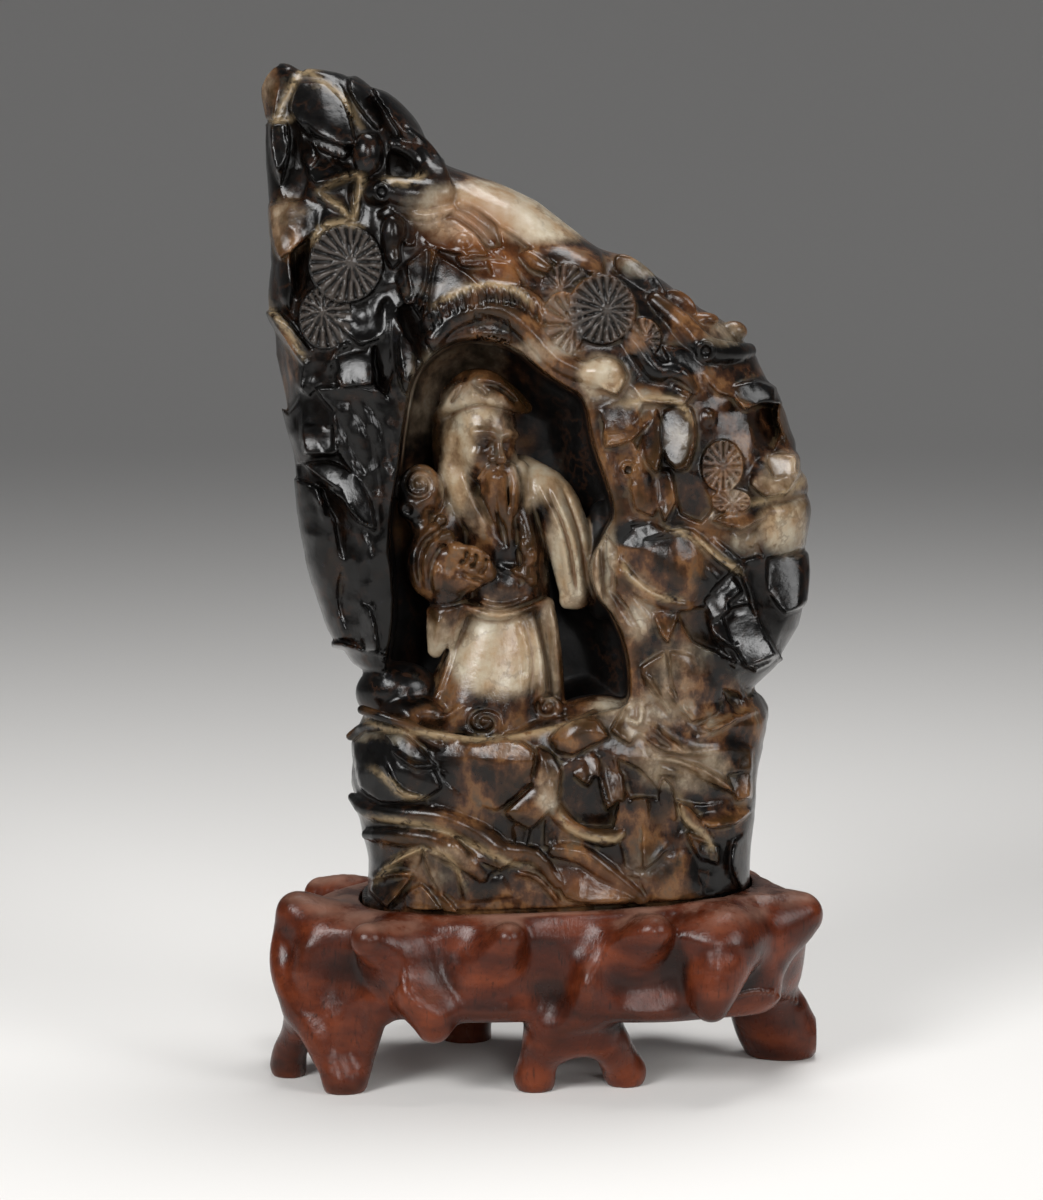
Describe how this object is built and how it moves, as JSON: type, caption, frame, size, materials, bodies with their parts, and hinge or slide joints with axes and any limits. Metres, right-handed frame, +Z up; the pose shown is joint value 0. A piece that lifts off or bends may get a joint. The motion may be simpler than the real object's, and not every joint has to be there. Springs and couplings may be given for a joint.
{
  "type": "jade boulder carving",
  "caption": "Tall jade boulder carved with a robed figure in a grotto under a pine, seated in a low dark wood stand carved as rootwork with short feet.",
  "frame": {"origin": "on the ground below the middle of the whole object's box", "axes": "+Z up along the boulder's height, -Y out of the carved front, +X to the viewer's right"},
  "size_m": [0.1114, 0.0668, 0.2029],
  "materials": {
    "jade": "polished black, brown and celadon stone",
    "rosewood": "waxed dark red"
  },
  "bodies": {
    "root": {"jade_boulder": "jade", "wooden_stand": "rosewood"}
  },
  "joints": []
}
